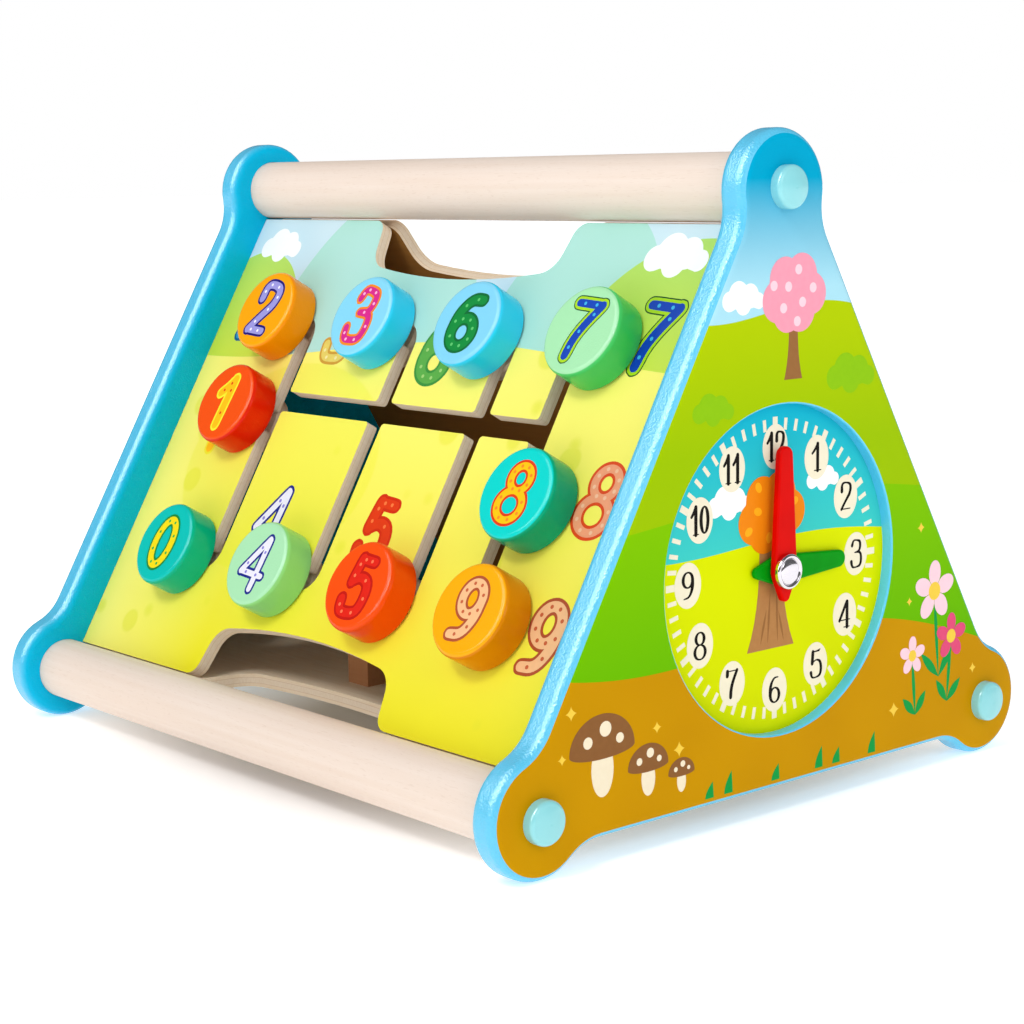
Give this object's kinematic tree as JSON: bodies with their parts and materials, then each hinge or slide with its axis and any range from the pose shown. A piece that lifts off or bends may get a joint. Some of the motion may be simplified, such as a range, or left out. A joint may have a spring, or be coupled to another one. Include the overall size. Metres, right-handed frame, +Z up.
{
  "type": "activity triangle toy",
  "caption": "Free-standing triangular wooden activity toy with a slotted number maze with sliding discs on one face and a clock with turning hands on one end.",
  "frame": {"origin": "on the floor under the middle of the object: midway between the end boards and the lower dowels, at the lowest point of the round board lobes", "axes": "+X along the dowels to the clock end, +Y from the number maze to the bare rear panel, +Z up"},
  "size_m": [0.313, 0.2588, 0.2296],
  "materials": {
    "painted_board": "gloss sky-blue paint over solid wood, printed outer faces",
    "beech": "bare sanded beech",
    "birch_plywood": "bare birch plywood",
    "printed_plywood": "printed birch plywood with bare edges",
    "aqua_plastic": "moulded pale aqua plastic",
    "chrome": "plated steel",
    "steel": "zinc plated steel",
    "red_plastic": "moulded red plastic",
    "green_plastic": "moulded green plastic",
    "painted_disc_0": "gloss paint over turned wood with a printed number",
    "painted_disc_1": "gloss paint over turned wood with a printed number",
    "painted_disc_2": "gloss paint over turned wood with a printed number",
    "painted_disc_3": "gloss paint over turned wood with a printed number",
    "painted_disc_4": "gloss paint over turned wood with a printed number",
    "painted_disc_5": "gloss paint over turned wood with a printed number",
    "painted_disc_6": "gloss paint over turned wood with a printed number",
    "painted_disc_7": "gloss paint over turned wood with a printed number",
    "painted_disc_8": "gloss paint over turned wood with a printed number",
    "painted_disc_9": "gloss paint over turned wood with a printed number"
  },
  "bodies": {
    "frame": {"end_board_clock": "painted_board", "end_board_plain": "painted_board", "dowel_top": "beech", "dowel_front": "beech", "dowel_rear": "beech", "front_panel": "printed_plywood", "rear_panel": "birch_plywood", "bottom_panel": "birch_plywood", "inner_block": "birch_plywood", "clock_pivot": "chrome", "clock_pivot_nut": "steel", "hand_washers": "steel", "dowel_screws": "steel", "screw_cap_clock_top": "aqua_plastic", "screw_cap_clock_front": "aqua_plastic", "screw_cap_clock_rear": "aqua_plastic", "screw_cap_plain_top": "aqua_plastic", "screw_cap_plain_front": "aqua_plastic", "screw_cap_plain_rear": "aqua_plastic"},
    "slider_0": {"number_disc_0": "painted_disc_0", "spindle_0": "beech", "retaining_disc_0": "birch_plywood"},
    "slider_1": {"number_disc_1": "painted_disc_1", "spindle_1": "beech", "retaining_disc_1": "birch_plywood"},
    "slider_2": {"number_disc_2": "painted_disc_2", "spindle_2": "beech", "retaining_disc_2": "birch_plywood"},
    "slider_3": {"number_disc_3": "painted_disc_3", "spindle_3": "beech", "retaining_disc_3": "birch_plywood"},
    "slider_4": {"number_disc_4": "painted_disc_4", "spindle_4": "beech", "retaining_disc_4": "birch_plywood"},
    "slider_5": {"number_disc_5": "painted_disc_5", "spindle_5": "beech", "retaining_disc_5": "birch_plywood"},
    "slider_6": {"number_disc_6": "painted_disc_6", "spindle_6": "beech", "retaining_disc_6": "birch_plywood"},
    "slider_7": {"number_disc_7": "painted_disc_7", "spindle_7": "beech", "retaining_disc_7": "birch_plywood"},
    "slider_8": {"number_disc_8": "painted_disc_8", "spindle_8": "beech", "retaining_disc_8": "birch_plywood"},
    "slider_9": {"number_disc_9": "painted_disc_9", "spindle_9": "beech", "retaining_disc_9": "birch_plywood"},
    "hour_hand": {"hour_hand": "green_plastic"},
    "minute_hand": {"minute_hand": "red_plastic"}
  },
  "joints": [
    {"name": "slide_0", "type": "slide", "parent": "frame", "child": "slider_0", "axis": [1, 0, 0], "range_m": [0, 0.0113]},
    {"name": "slide_1", "type": "slide", "parent": "frame", "child": "slider_1", "axis": [1, 0, 0], "range_m": [0, 0.0163]},
    {"name": "slide_2", "type": "slide", "parent": "frame", "child": "slider_2", "axis": [1, 0, 0], "range_m": [0, 0.0113]},
    {"name": "slide_3", "type": "slide", "parent": "frame", "child": "slider_3", "axis": [1, 0, 0], "range_m": [0, 0.0123]},
    {"name": "slide_4", "type": "slide", "parent": "frame", "child": "slider_4", "axis": [1, 0, 0], "range_m": [0, 0.0123]},
    {"name": "slide_5", "type": "slide", "parent": "frame", "child": "slider_5", "axis": [1, 0, 0], "range_m": [0, 0.0067]},
    {"name": "slide_6", "type": "slide", "parent": "frame", "child": "slider_6", "axis": [1, 0, 0], "range_m": [0, 0.0067]},
    {"name": "slide_7", "type": "slide", "parent": "frame", "child": "slider_7", "axis": [1, 0, 0], "range_m": [-0.0091, 0]},
    {"name": "slide_8", "type": "slide", "parent": "frame", "child": "slider_8", "axis": [1, 0, 0], "range_m": [-0.0141, 0]},
    {"name": "slide_9", "type": "slide", "parent": "frame", "child": "slider_9", "axis": [1, 0, 0], "range_m": [-0.0091, 0]},
    {"name": "hour_hand_turn", "type": "hinge", "parent": "frame", "child": "hour_hand", "pos_m": [0.1472, 0, 0.08331], "axis": [1, 0, 0], "continuous": true},
    {"name": "minute_hand_turn", "type": "hinge", "parent": "frame", "child": "minute_hand", "pos_m": [0.1472, 0, 0.08331], "axis": [1, 0, 0], "continuous": true}
  ]
}
